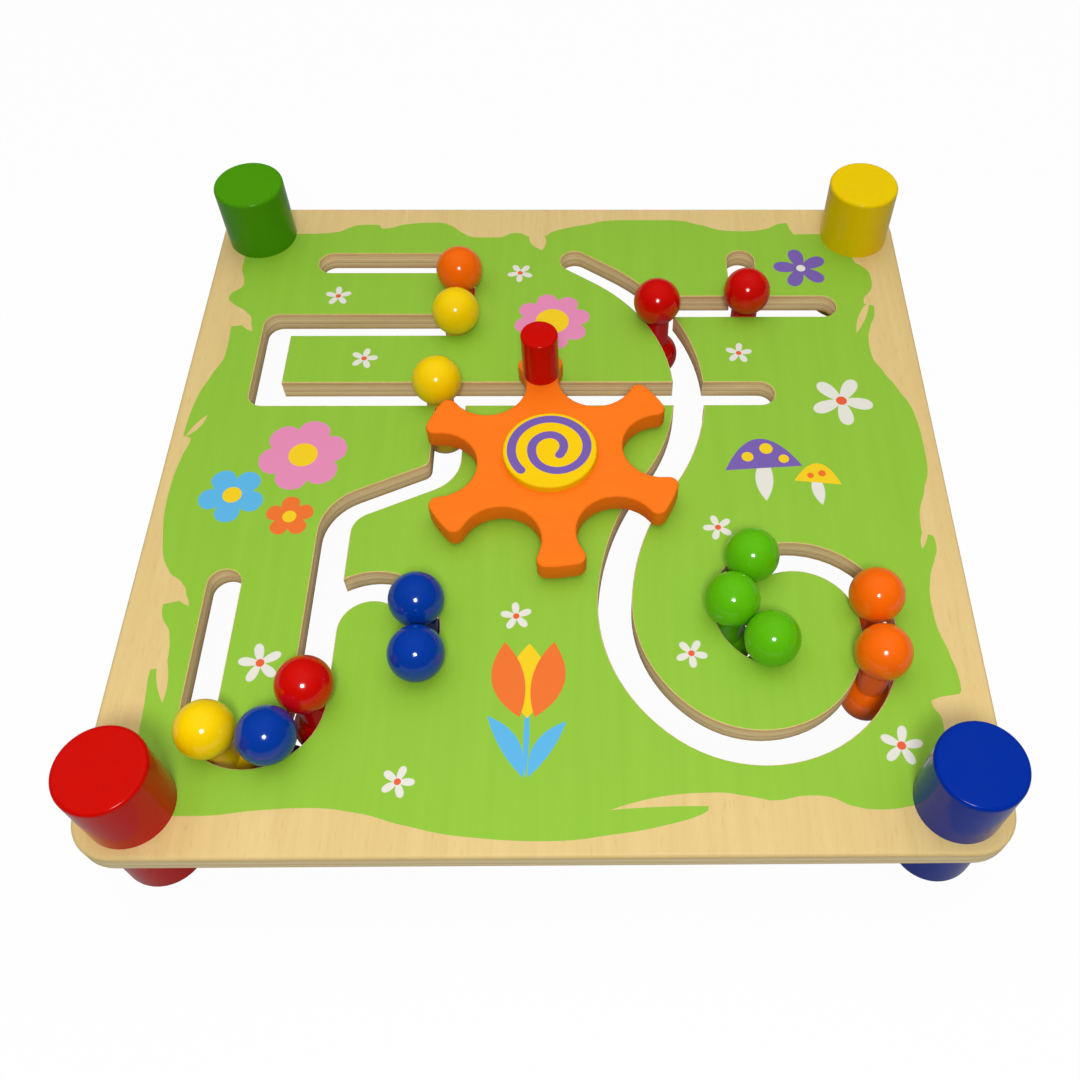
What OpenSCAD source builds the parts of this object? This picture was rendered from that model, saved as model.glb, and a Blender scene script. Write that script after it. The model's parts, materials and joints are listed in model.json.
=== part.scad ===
// Bead maze board: a square of plywood between turned corner posts and feet. Slots routed through the
// board hold captive beads that slide along them, and a star wheel at the middle passes beads on.
// Millimetres. The origin is on the table under the middle of the board: +X right, +Y back, +Z up.

/* [Board] */
// Side of the square board
board_side = 300; // [292:1:330]
// Thickness of the plywood
board_t = 9; // [7:0.5:12]
// Radius of the board's corners in plan
corner_r = 15; // [8:1:18]
// Round along the board's top and bottom edges
board_edge_r = 1.5; // [0.5:0.1:2.5]

/* [Posts and feet] */
// Diameter of the corner posts and feet
post_d = 29.2; // [24:0.1:31]
// Height of a post above the board
post_h = 28.8; // [22:0.1:40]
// Height of a foot, from the table to the board
foot_h = 30; // [26:1:45]
// Distance from two board edges to a post's axis
post_inset = 18; // [16:0.5:19]
// Round along the free end of a post or foot
post_round = 1.5; // [0.5:0.1:3]

/* [Corner screws] */
// Diameter of a screw's shank
screw_d = 4; // [3:0.5:5]
// Diameter of a screw's head
screw_head_d = 8; // [7:0.5:10]
// Thickness of a screw's head
screw_head_t = 3; // [2:0.5:4]
// Depth of the hole in the foot that takes the head
screw_sink = 9; // [6:0.5:14]
// Length of screw that holds in the post
screw_grip = 16; // [12:1:20]

/* [Slots] */
// Width of every slot
slot_w = 12; // [11:0.5:13]
// Distance from the board's back edge to the back row
back_margin = 35.7; // [34:0.1:38]
// Distance from the back row to the second
row_gap = 37.3; // [35:0.1:40]
// Long row that passes under the wheel, behind the middle of the board
row_low = 38.9; // [37:0.1:41]
// Left end of the back row, left of the middle
row_back_end = 98.8; // [80:0.1:104]
// Right end of the long row, right of the middle
row_low_end = 82.5; // [70:0.1:90]
// Column that joins the back row to the second, left of the middle
col_inner = 41.8; // [40:0.1:44]
// Distance from the board's left edge to the column beside it
side_margin = 33; // [31:0.5:35]
// Right leg of the arch, left of the middle
col_arch = 44.6; // [43:0.1:46]
// Where the run leaves its column, in front of the long row
run_drop = 33; // [31:0.5:36]
// Turn of the run's two bends
run_turn = 65; // [55:1:75]
// Radius of the run's first bend
run_bend_1 = 10; // [8:0.5:12]
// Radius of the run's second bend
run_bend_2 = 15; // [12:0.5:18]
// Distance between the hairpin's two legs
hairpin_w = 36.4; // [35:0.1:38]
// Distance from the board's front edge to the middle of the hairpin's bend
front_margin = 53.8; // [53:0.1:56]
// Length of the hairpin's free leg
hairpin_leg = 46; // [36:1:56]
// Middle of the arch, in front of the middle of the board
arch_y = 69.4; // [67:0.1:72]
// Row at the back right
row_right = 87.7; // [86:0.1:90]
// Right end of that row
row_right_end = 113.2; // [106:0.1:116]
// Column that goes back from it
col_right = 80.2; // [76:0.1:84]
// Length of that column
col_right_leg = 28.2; // [24:0.1:30]

/* [Swirl slot] */
// Start of the swirl, right of the middle
swirl_x = 7; // [5:0.1:9]
// Start of the swirl, behind the middle
swirl_y = 115.5; // [113:0.1:117]
// Direction in which the swirl starts
swirl_heading = -35; // [-38:0.5:-32]
// Straight stretch that leads in
swirl_lead = 14.5; // [12:0.5:17]
// Radius of the wide bend round the wheel
swirl_r1 = 82; // [80:0.5:84]
// Radius where the swirl turns back
swirl_r2 = 100; // [95:1:105]
// Radius down its left side
swirl_r3 = 57; // [55:0.5:59]
// Radius round its front
swirl_r4 = 43.5; // [42:0.5:45]
// Radius over its top
swirl_r5 = 28; // [27:0.5:29]
// Radius of its end hook
swirl_r6 = 19; // [17:0.5:20]
// Turn of the wide bend, to the right
swirl_turn_1 = 89; // [87:0.5:91]
// Turn where the swirl turns back, to the left from here on
swirl_turn_2 = 31; // [29:0.5:33]
// Turn down its left side
swirl_turn_3 = 57; // [55:0.5:59]
// Turn round its front
swirl_turn_4 = 137; // [135:0.5:139]
// Turn over its top
swirl_turn_5 = 110; // [108:0.5:112]

/* [Beads] */
// Diameter of a bead's two balls
ball_d = 19.6; // [18:0.1:20]
// Distance between the centres of a bead's two balls
bead_pitch = 31.5; // [29:0.5:34]
// Play of a stem in its slot
stem_play = 1; // [0.8:0.1:2]
// Diameter of the tenon on a stem
tenon_d = 7; // [5:0.5:8]
// Length of the tenon
tenon_l = 9; // [6:0.5:12]
// Gap between beads that stand in a row
bead_gap = 0.4; // [0.3:0.1:1]
// How far behind the second row the first orange bead stands
orange_stand = 24.5; // [21:0.5:37]
// Where the second orange bead stands, past the start of the swirl's top
orange_top_angle = 3; // [0:0.5:20]
// Where the third orange bead stands, before the start of the swirl's top
orange_front_angle = 28; // [27:0.5:60]
// How far behind its row the second red bead stands
red_row_stand = 0.7; // [0:0.1:24]
// How far behind the hairpin's bend the third red bead stands
red_run_stand = 1.9; // [1.6:0.1:40]
// Where the first red bead stands on the swirl's wide bend
red_swirl_angle = 31; // [10:1:40]
// Where the first green bead stands, past the start of the swirl's hook
green_hook_angle = 2.9; // [0:0.1:6]
// Where the third yellow bead stands on the hairpin's bend
yellow_bend_angle = 230; // [190:1:232]
// Where the third blue bead stands on the hairpin's bend
blue_bend_angle = 298; // [295:1:300]
// Where the first blue bead stands on the arch
blue_arch_angle = 25; // [20:1:70]
// How far in front of it the second blue bead stands, at the end of the leg
blue_step = 21.1; // [20.5:0.1:26]

/* [Star wheel] */
// Distance of the axle to the left of the board's middle
axle_x = 1; // [0:0.5:2]
// Radius of the wheel over its arms
wheel_r = 50; // [48:0.5:52]
// Thickness of the wheel
wheel_t = 8.5; // [7:0.5:12]
// Radius of the notches between arms
notch_r = 14.9; // [14:0.1:15.5]
// Distance of a notch's centre from the axle
notch_at = 42.5; // [42:0.5:44]
// Round at the corners of an arm
arm_round = 3.5; // [2.5:0.1:4.5]
// Round along the wheel's faces
wheel_edge_r = 0.9; // [0.5:0.1:1.5]
// Direction of the arm that holds the peg
arm_angle = 96; // [90:1:102]
// Diameter of the cap over the axle's head
cap_d = 35.5; // [30:0.5:40]
// Thickness of the cap
cap_t = 3.2; // [2:0.1:5]
// Diameter of the turning peg
peg_d = 14.4; // [12:0.1:15]
// Height of the turning peg
peg_h = 21.5; // [16:0.5:30]
// Distance of the peg from the axle
peg_at = 41.5; // [40:0.1:42]
// Wood left under the peg's tenon
peg_floor = 2.5; // [1.5:0.5:4]

/* [Axle] */
// Diameter of the axle bolt
axle_d = 6; // [5:0.5:8]
// Diameter of the bolt's head
axle_head_d = 14; // [12:0.5:18]
// Thickness of the bolt's head
axle_head_t = 2.6; // [2:0.1:3.5]
// Diameter of the washers
washer_d = 20; // [16:1:24]
// Thickness of the spacer washer under the wheel
spacer_t = 1.6; // [1:0.1:3]
// Thickness of the washer under the board
washer_t = 1.2; // [0.8:0.1:2]
// Size of the nut across its flats
nut_af = 10; // [8:0.5:14]
// Thickness of the nut
nut_t = 5; // [4:0.5:8]

/* [Clearances] */
// Gap between faces that slide on each other
running_gap = 0.2; // [0.1:0.05:0.4]
// Gap between a ball and the slot's edges that carry it
seat_gap = 0.3; // [0.2:0.05:0.5]
// Extra diameter of a hole over the glued or driven piece in it
hole_play = 0.1; // [0.05:0.05:0.3]
// Extra diameter of a hole over the screw's or bolt's head in it
head_play = 1; // [0.6:0.1:2]

/* [Hidden] */
$fn = 96;
arms = 6;
cut = 1;
round_steps = 3;
wall_turn = 7.5;
wall_step = 4;
corner_parts = 6;
rim_parts = 4;
notch_parts = 16;
nut_sides = 6;

board_z = foot_h;
deck_z = board_z + board_t;
post_at = board_side / 2 - post_inset;
corners = [["back_left", -1, 1], ["back_right", 1, 1], ["front_left", -1, -1], ["front_right", 1, -1]];

green = [0.24, 0.55, 0.06];
yellow = [0.99, 0.85, 0.02];
red = [0.78, 0.05, 0.02];
blue = [0.02, 0.17, 0.6];
orange = [1, 0.42, 0.04];
birch = [0.93, 0.81, 0.57];
steel = [0.72, 0.73, 0.75];
post_colours = [green, yellow, red, blue];

// A bead hangs with its upper ball on the two edges of its slot
stem_d = slot_w - stem_play;
ball_r = ball_d / 2;
ball_z = deck_z + sqrt(pow(ball_r + seat_gap, 2) - pow(slot_w / 2, 2));
shoulder = sqrt(pow(ball_r, 2) - pow(stem_d / 2, 2));
bead_step = ball_d + bead_gap;

// The wheel turns on the spacer, under the bolt's head
wheel_z = deck_z + spacer_t + running_gap;
wheel_top = wheel_z + wheel_t;
head_sink = axle_head_t + 2 * running_gap;
head_z = wheel_top - head_sink + running_gap;
peg_tenon_l = wheel_t - peg_floor;
bolt_end = board_z - washer_t - nut_t;

// A track is a start [x, y, heading] and a list of moves. A move is [length, radius, turn]: a line,
// or a bend to the left or, with a turn below zero, to the right.
function line(len) = [len, 0, 0];
function bend(r, turn) = [0, r, turn];
function beside(p, off) = [p.x - off * sin(p[2]), p.y + off * cos(p[2])];
function bend_centre(p, r, turn) = beside(p, sign(turn) * r);
function ahead(p, len) = [p.x + len * cos(p[2]), p.y + len * sin(p[2]), p[2]];
function turned(p, r, turn) =
    let (c = bend_centre(p, r, turn), s = sign(turn), h = p[2] + turn)
    [c.x + s * r * sin(h), c.y - s * r * cos(h), h];
function moved(p, m) = m[0] > 0 ? ahead(p, m[0]) : turned(p, m[1], m[2]);
function pose(track, i) = i == 0 ? track[0] : moved(pose(track, i - 1), track[1][i - 1]);
function centre_of(track, i) = let (m = track[1][i]) bend_centre(pose(track, i), m[1], m[2]);
function on_circle(c, r, a) = [c.x + r * cos(a), c.y + r * sin(a)];
function step_turn(r) = 2 * asin(bead_step / 2 / r);

// Outline of a slot along a track: its right wall, its round end, its left wall and, where the track
// doesn't branch off another, its round start
function bend_length(m) = abs(m[2]) * m[1] * PI / 180;
function wall_parts(m) = m[0] > 0 ? 1 : ceil(max(abs(m[2]) / wall_turn, bend_length(m) / wall_step));
function part_move(m, t) = [m[0] * t, m[1], m[2] * t];
function wall(track, off) = concat([beside(track[0], off)],
    [for (i = [0 : len(track[1]) - 1]) let (m = track[1][i], p = pose(track, i), n = wall_parts(m))
        for (k = [1 : n]) beside(moved(p, part_move(m, k / n)), off)]);
function cap_points(p, from) =
    [for (a = [wall_turn : wall_turn : 180 - wall_turn]) on_circle(p, slot_w / 2, p[2] + from + a)];
function reversed(points) = [for (i = [len(points) - 1 : -1 : 0]) points[i]];
function track_outline(track, branch) = concat(
    wall(track, -slot_w / 2), cap_points(pose(track, len(track[1])), -90),
    reversed(wall(track, slot_w / 2)), branch ? [] : cap_points(track[0], 90));

// Rows and columns near an edge of the board keep their distance from it
row_back = board_side / 2 - back_margin;
row_mid = row_back - row_gap;
col_outer = board_side / 2 - side_margin;
hairpin_r = hairpin_w / 2;
hairpin_y = board_side / 2 - front_margin;
col_run = col_outer - hairpin_w;

// Straight slots that meet at square corners: from, to
back_corner = [-col_inner, row_back];
mid_corner = [-col_inner, row_mid];
outer_corner = [-col_outer, row_mid];
low_corner = [-col_outer, row_low];
straight_slots = [
    [[-row_back_end, row_back], back_corner], [mid_corner, back_corner], [outer_corner, mid_corner],
    [low_corner, outer_corner], [low_corner, [row_low_end, row_low]]];

run_slant = (col_run - col_inner - (run_bend_1 + run_bend_2) * (1 - cos(run_turn))) / sin(run_turn);
run_foot = row_low - run_drop - (run_bend_1 + run_bend_2) * sin(run_turn) - run_slant * cos(run_turn);
run = [[-col_inner, row_low, -90], [
    line(run_drop), bend(run_bend_1, -run_turn), line(run_slant), bend(run_bend_2, run_turn),
    line(run_foot + hairpin_y), bend(hairpin_r, -180), line(hairpin_leg)]];
hairpin_c = [-col_run - hairpin_r, -hairpin_y];

arch_r = (col_run - col_arch) / 2;
arch_c = [-col_run + arch_r, -arch_y];
arch_leg = blue_step - arch_r * sin(blue_arch_angle);
arch = [[-col_run, -arch_y, 90], [bend(arch_r, -180), line(arch_leg)]];

swirl = [[swirl_x, swirl_y, swirl_heading], [
    line(swirl_lead), bend(swirl_r1, -swirl_turn_1), bend(swirl_r2, swirl_turn_2),
    bend(swirl_r3, swirl_turn_3), bend(swirl_r4, swirl_turn_4), bend(swirl_r5, swirl_turn_5),
    bend(swirl_r6, green_hook_angle + 2 * step_turn(swirl_r6))]];
wide_c = centre_of(swirl, 1);
front_c = centre_of(swirl, 4);
top_c = centre_of(swirl, 5);
hook_c = centre_of(swirl, 6);
top_start = pose(swirl, 5)[2] - 90;
queue_start = pose(swirl, 6)[2] - 90 + green_hook_angle;

row_right_start = wide_c.x + sqrt(pow(swirl_r1, 2) - pow(row_right - wide_c.y, 2));
right_row = [[row_right_start, row_right, 0], [line(row_right_end - row_right_start)]];
right_col = [[col_right, row_right, 90], [line(col_right_leg)]];
branches = [run, arch, right_row, right_col];

// A bead on the long row waits just clear of the wheel's sweep
wheel_clear = wheel_r + ball_r + seat_gap;
waiting_x = -axle_x - sqrt(pow(wheel_clear, 2) - pow(row_low, 2));

// Where each bead stands: name, colour, place in plan
beads = [
    ["orange_bead_1", orange, [-col_inner, row_mid + orange_stand]],
    ["orange_bead_2", orange, on_circle(top_c, swirl_r5, top_start + orange_top_angle)],
    ["orange_bead_3", orange, on_circle(front_c, swirl_r4, top_start - orange_front_angle)],
    ["yellow_bead_1", yellow, [-col_inner, row_mid]],
    ["yellow_bead_2", yellow, [waiting_x, row_low]],
    ["yellow_bead_3", yellow, on_circle(hairpin_c, hairpin_r, yellow_bend_angle)],
    ["red_bead_1", red, on_circle(wide_c, swirl_r1, red_swirl_angle)],
    ["red_bead_2", red, [col_right, row_right + red_row_stand]],
    ["red_bead_3", red, [-col_run, red_run_stand - hairpin_y]],
    ["green_bead_1", green, on_circle(hook_c, swirl_r6, queue_start)],
    ["green_bead_2", green, on_circle(hook_c, swirl_r6, queue_start + step_turn(swirl_r6))],
    ["green_bead_3", green, on_circle(hook_c, swirl_r6, queue_start + 2 * step_turn(swirl_r6))],
    ["blue_bead_1", blue, on_circle(arch_c, arch_r, blue_arch_angle)],
    ["blue_bead_2", blue, [-col_arch, -arch_y - arch_leg]],
    ["blue_bead_3", blue, on_circle(hairpin_c, hairpin_r, blue_bend_angle)]];

// A cutter right through the board
module through_board() {
    translate([0, 0, board_z - cut]) linear_extrude(board_t + 2 * cut) children();
}

module straight_slot(from, to) {
    size = to - from;
    through_board() {
        translate(from - (size.x > 0 ? [0, slot_w / 2] : [slot_w / 2, 0]))
            square([size.x > 0 ? size.x : slot_w, size.y > 0 ? size.y : slot_w]);
        translate(from) circle(d = slot_w);
        translate(to) circle(d = slot_w);
    }
}

module track_slot(track, branch) {
    through_board() polygon(track_outline(track, branch));
}

// Section of the board from a corner's axis out to its rounded edge
module edge_section() {
    translate([0, board_edge_r]) square([corner_r, board_t - 2 * board_edge_r]);
    square([corner_r - board_edge_r, board_t]);
    for (y = [board_edge_r, board_t - board_edge_r])
        translate([corner_r - board_edge_r, y]) circle(board_edge_r);
}

module board_blank() {
    inner = board_side - 2 * corner_r;
    translate([0, 0, board_z]) {
        translate([-inner / 2, -inner / 2, 0]) cube([inner, inner, board_t]);
        for (a = [0 : 90 : 270]) rotate(a) {
            translate([inner / 2, inner / 2, 0]) rotate_extrude(angle = 90) edge_section();
            translate([inner / 2, inner / 2, 0]) rotate([90, 0, 0]) linear_extrude(inner) edge_section();
        }
    }
}

module board() {
    color(birch) difference() {
        board_blank();
        for (s = straight_slots) straight_slot(s[0], s[1]);
        for (t = branches) track_slot(t, true);
        track_slot(swirl, false);
        for (c = corners) translate([c[1] * post_at, c[2] * post_at, board_z - cut])
            cylinder(d = screw_d + hole_play, h = board_t + 2 * cut);
        translate([-axle_x, 0, board_z - cut]) cylinder(d = axle_d + hole_play, h = board_t + 2 * cut);
    }
}

// Turned cylinder with its upper end rounded
module turned_end(d, h, r) {
    rotate_extrude() {
        square([d / 2 - r, h]);
        square([d / 2, h - r]);
        translate([d / 2 - r, h - r]) circle(r);
    }
}

module post(i) {
    c = corners[i];
    color(post_colours[i]) translate([c[1] * post_at, c[2] * post_at, deck_z]) difference() {
        turned_end(post_d, post_h, post_round);
        translate([0, 0, -cut]) cylinder(d = screw_d + hole_play, h = screw_grip + 2 * cut);
    }
}

module foot(i) {
    c = corners[i];
    place = [c[1] * post_at, c[2] * post_at, board_z];
    color(post_colours[i]) translate(place) rotate([180, 0, 0]) difference() {
        turned_end(post_d, foot_h, post_round);
        translate([0, 0, -cut]) cylinder(d = screw_d + hole_play, h = foot_h + cut);
        translate([0, 0, foot_h - screw_sink]) cylinder(d = screw_head_d + head_play, h = screw_sink + cut);
    }
}

module corner_screws() {
    color(steel) for (c = corners) translate([c[1] * post_at, c[2] * post_at, screw_sink]) {
        translate([0, 0, -screw_head_t]) cylinder(d = screw_head_d, h = screw_head_t);
        cylinder(d = screw_d, h = deck_z - screw_sink + screw_grip);
    }
}

// Outline of the star wheel drawn in by d: arm ends, their rounded corners and the notches between
arm_half = 180 / arms;
notch_c = on_circle([0, 0], notch_at, arm_half);
round_off = acos((pow(wheel_r - arm_round, 2) + pow(notch_at, 2) - pow(notch_r + arm_round, 2))
    / (2 * (wheel_r - arm_round) * notch_at));
round_at = arm_half - round_off;
round_c = on_circle([0, 0], wheel_r - arm_round, round_at);
round_to = atan2(notch_c.y - round_c.y, notch_c.x - round_c.x);
function arc_points(c, r, a0, a1, n) = [for (i = [0 : n]) on_circle(c, r, a0 + (a1 - a0) * i / n)];
function inner(points) = [for (i = [1 : len(points) - 2]) points[i]];
function mirrored(points) = [for (p = reversed(points)) [p.x, -p.y]];
function arm_points(d) =
    let (corner_points = arc_points(round_c, arm_round - d, round_at, round_to, corner_parts))
    concat(
        mirrored(corner_points),
        inner(arc_points([0, 0], wheel_r - d, -round_at, round_at, rim_parts)),
        corner_points,
        inner(arc_points(notch_c, notch_r + d, round_to - 180, 2 * arm_half - round_to - 180, notch_parts)));
function spun(points, a) = [for (p = points) [p.x * cos(a) - p.y * sin(a), p.x * sin(a) + p.y * cos(a)]];
function wheel_points(d) =
    [for (k = [0 : arms - 1]) each spun(arm_points(d), arm_angle + 2 * arm_half * k)];

// The wheel's blank: its outline in layers, drawn in along both faces by a quarter round
module wheel_blank() {
    turns = [for (k = [0 : round_steps]) 90 * k / round_steps];
    lower = [for (a = turns) [wheel_edge_r * (1 - sin(a)), wheel_edge_r * (1 - cos(a))]];
    layers = concat(lower, [for (i = [round_steps : -1 : 0]) [lower[i].x, wheel_t - lower[i].y]]);
    n = len(wheel_points(0));
    last = len(layers) - 1;
    points = [for (l = layers) each [for (p = wheel_points(l.x)) [p.x, p.y, l.y]]];
    sides = [for (l = [0 : last - 1]) each [for (i = [0 : n - 1])
        [l * n + i, (l + 1) * n + i, (l + 1) * n + (i + 1) % n, l * n + (i + 1) % n]]];
    bottom = [for (i = [0 : n - 1]) i];
    top = [for (i = reversed(bottom)) last * n + i];
    polyhedron(points, concat([bottom], sides, [top]));
}

module at_axle(z) {
    translate([-axle_x, 0, z]) children();
}

module at_peg(z) {
    at_axle(z) rotate(arm_angle) translate([peg_at, 0, 0]) children();
}

module star_wheel() {
    color(orange) difference() {
        at_axle(wheel_z) wheel_blank();
        at_axle(wheel_z - cut) cylinder(d = axle_d + 2 * running_gap, h = wheel_t + 2 * cut);
        at_axle(wheel_top - head_sink) cylinder(d = axle_head_d + head_play, h = head_sink + cut);
        at_peg(wheel_top - peg_tenon_l - hole_play)
            cylinder(d = tenon_d + hole_play, h = peg_tenon_l + cut);
    }
}

module spiral_cap() {
    color(yellow) at_axle(wheel_top) turned_end(cap_d, cap_t, wheel_edge_r);
}

module turning_peg() {
    color(red) at_peg(wheel_top) {
        turned_end(peg_d, peg_h, wheel_edge_r);
        translate([0, 0, -peg_tenon_l]) cylinder(d = tenon_d, h = peg_tenon_l);
    }
}

module axle_bolt() {
    color(steel) at_axle(0) {
        translate([0, 0, head_z]) cylinder(d = axle_head_d, h = axle_head_t);
        translate([0, 0, bolt_end]) cylinder(d = axle_d, h = head_z - bolt_end);
    }
}

module ring(d, t, bore) {
    difference() {
        cylinder(d = d, h = t);
        translate([0, 0, -cut]) cylinder(d = bore, h = t + 2 * cut);
    }
}

module spacer_washer() {
    color(steel) at_axle(deck_z) ring(washer_d, spacer_t, axle_d + hole_play);
}

module under_washer() {
    color(steel) at_axle(board_z - washer_t) ring(washer_d, washer_t, axle_d + hole_play);
}

module axle_nut() {
    color(steel) at_axle(bolt_end) difference() {
        cylinder(d = nut_af / cos(180 / nut_sides), h = nut_t, $fn = nut_sides);
        translate([0, 0, -cut]) cylinder(d = axle_d + hole_play, h = nut_t + 2 * cut);
    }
}

// Upper ball of a bead, faced off and drilled for the stem's tenon
module bead_ball(b) {
    color(b[1]) translate([b[2].x, b[2].y, ball_z]) difference() {
        sphere(d = ball_d);
        translate([0, 0, -ball_d - shoulder]) cylinder(d = ball_d, h = ball_d);
        translate([0, 0, -shoulder - cut])
            cylinder(d = tenon_d + hole_play, h = tenon_l + hole_play + cut);
    }
}

// Lower ball of a bead, turned in one piece with the stem that passes through the slot
module bead_stem(b) {
    color(b[1]) translate([b[2].x, b[2].y, ball_z - bead_pitch]) {
        sphere(d = ball_d);
        cylinder(d = stem_d, h = bead_pitch - shoulder);
        cylinder(d = tenon_d, h = bead_pitch - shoulder + tenon_l);
    }
}

board();
corner_screws();
star_wheel();
spiral_cap();
turning_peg();
axle_bolt();
spacer_washer();
under_washer();
axle_nut();
for (i = [0 : len(corners) - 1]) {
    post(i);
    foot(i);
}
for (b = beads) {
    bead_ball(b);
    bead_stem(b);
}
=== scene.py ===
# %% [markdown]
# # A wooden bead maze board
# The toy is a square of birch plywood between four turned posts and four feet. Beads are trapped in slots
# that are routed right through the board, and a star wheel at the middle passes them from slot to slot.
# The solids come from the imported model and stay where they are. This lesson gives each of them its
# finish, adds the small fittings that show underneath, and sets up the picture.

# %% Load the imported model
import json
import math

import bmesh
import bpy
from mathutils import Matrix, Vector


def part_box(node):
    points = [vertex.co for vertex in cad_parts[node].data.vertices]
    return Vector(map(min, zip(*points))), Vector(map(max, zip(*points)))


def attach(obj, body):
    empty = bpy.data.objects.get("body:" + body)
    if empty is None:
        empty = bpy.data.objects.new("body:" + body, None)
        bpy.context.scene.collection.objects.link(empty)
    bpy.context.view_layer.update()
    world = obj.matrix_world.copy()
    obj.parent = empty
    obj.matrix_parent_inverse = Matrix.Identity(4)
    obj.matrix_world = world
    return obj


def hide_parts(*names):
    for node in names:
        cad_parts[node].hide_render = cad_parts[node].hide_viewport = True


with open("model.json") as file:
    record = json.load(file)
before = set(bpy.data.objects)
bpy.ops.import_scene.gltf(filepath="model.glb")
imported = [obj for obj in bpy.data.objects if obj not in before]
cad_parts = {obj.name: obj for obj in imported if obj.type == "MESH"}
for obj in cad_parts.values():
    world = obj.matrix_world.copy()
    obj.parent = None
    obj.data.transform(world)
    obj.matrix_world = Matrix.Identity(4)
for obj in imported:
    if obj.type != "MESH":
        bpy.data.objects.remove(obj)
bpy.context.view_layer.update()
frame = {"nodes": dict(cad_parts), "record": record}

MM = 1000.0
nodes = frame["nodes"]
subparts = frame["record"]["subparts"]


def show(name, data):
    made = bpy.data.objects.new(name, data)
    bpy.context.scene.collection.objects.link(made)
    return made


# %% [markdown]
# ## Camera
# The photograph is taken from close by, so the front of the board looks much wider than its back. A camera
# could be aimed by eye, but the square board gives its place exactly: four corners fix the distance, the
# tilt and the lens. The two shifts put the board where it stands in the frame.

# %% Camera
EYE = Vector((0.01602, -0.26729, 0.39433))
AZIMUTH, ELEVATION, ROLL = -0.02, 0.9654, 0.0134
FOCAL, SENSOR = 38.58, 36
SHIFT_X, SHIFT_Y = -0.0636, -0.0219
NEAREST = 0.01


def view_frame(azimuth, elevation, roll):
    away = math.cos(elevation)
    back = Vector((math.sin(azimuth) * away, -math.cos(azimuth) * away, math.sin(elevation)))
    right = Vector((0, 0, 1)).cross(back).normalized()
    up = back.cross(right)
    c, s = math.cos(roll), math.sin(roll)
    return Matrix((c * right + s * up, -s * right + c * up, back)).transposed()


lens = bpy.data.cameras.new("camera")
lens.sensor_width = SENSOR
lens.lens = FOCAL
lens.shift_x = SHIFT_X
lens.shift_y = SHIFT_Y
lens.clip_start = NEAREST
camera = show("camera", lens)
camera.matrix_world = Matrix.Translation(EYE) @ view_frame(AZIMUTH, ELEVATION, ROLL).to_4x4()
bpy.context.scene.camera = camera
board_low, board_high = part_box("board")
deck = Vector((0, 0, board_high.z))
print("camera stands", round((EYE - deck).length * MM), "mm from the middle of the board")

# %% [markdown]
# ## Node helpers
# Every finish below is a small network of nodes, and a few helpers keep it readable. One places a node and
# fills or links its inputs, one does a step of arithmetic, one lays a colour over another. Colours are
# written as they look on a screen and turned into the linear values that shaders take. Places come in
# millimetres, so the sizes in a finish can be read off a ruler.

# %% Node helpers
def put(tree, kind, inputs=None, **settings):
    made = tree.nodes.new(kind)
    for name, value in settings.items():
        setattr(made, name, value)
    for key, value in (inputs or {}).items():
        if isinstance(value, bpy.types.NodeSocket):
            tree.links.new(value, made.inputs[key])
        else:
            made.inputs[key].default_value = value
    return made


def sums(tree, operation, *values, clamp=False):
    values = dict(enumerate(values))
    return put(tree, "ShaderNodeMath", values, operation=operation, use_clamp=clamp).outputs[0]


def vectors(tree, operation, first, second):
    return put(tree, "ShaderNodeVectorMath", {0: first, 1: second}, operation=operation).outputs[0]


def parts(tree, vector):
    return put(tree, "ShaderNodeSeparateXYZ", {0: vector}).outputs


def level_part(tree, east, north):
    return put(tree, "ShaderNodeCombineXYZ", {0: east, 1: north}).outputs[0]


def length(tree, vector):
    return put(tree, "ShaderNodeVectorMath", {0: vector}, operation="LENGTH").outputs["Value"]


def noise(tree, vector, scale, detail, **inputs):
    inputs = {"Vector": vector, "Scale": scale, "Detail": detail, **inputs}
    return put(tree, "ShaderNodeTexNoise", inputs).outputs[0]


def bump(tree, height, strength, distance):
    inputs = {"Strength": strength, "Distance": distance, "Height": height}
    return put(tree, "ShaderNodeBump", inputs).outputs[0]


def mix(tree, share, under, over):
    return put(tree, "ShaderNodeMix", {0: share, 6: under, 7: over}, data_type="RGBA").outputs[2]


def screen(red, green, blue):
    levels = [v / 255 for v in (red, green, blue)]
    return (*[v / 12.92 if v <= 0.04045 else ((v + 0.055) / 1.055) ** 2.4 for v in levels], 1.0)


def new_material(name):
    made = bpy.data.materials.new(name)
    made.use_nodes = True
    return made, made.node_tree, made.node_tree.nodes["Principled BSDF"].inputs


def place_mm(tree):
    coordinates = put(tree, "ShaderNodeTexCoord").outputs["Object"]
    return vectors(tree, "MULTIPLY", coordinates, (MM, MM, MM))


def new_group(name, inputs, outputs):
    tree = bpy.data.node_groups.new(name, "ShaderNodeTree")
    for label, kind in inputs.items():
        tree.interface.new_socket(label, in_out="INPUT", socket_type="NodeSocket" + kind)
    for label, kind in outputs.items():
        tree.interface.new_socket(label, in_out="OUTPUT", socket_type="NodeSocket" + kind)
    return tree, tree.nodes.new("NodeGroupInput").outputs, tree.nodes.new("NodeGroupOutput").inputs


def use_group(tree, group, inputs):
    return put(tree, "ShaderNodeGroup", inputs, node_tree=group).outputs


def wear(data, material):
    data.materials.clear()
    data.materials.append(material)


print("white comes out as", [round(value, 2) for value in screen(255, 255, 255)[:3]])

# %% [markdown]
# ## Lamp
# In the photograph each bead has one small bright spot near its middle, so a flash must stand where the
# camera is. A flash that close would make the front of the board much brighter than its back. A round lamp
# on the same line of sight, but twice as far away, gives the same spot and a more even board.

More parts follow.
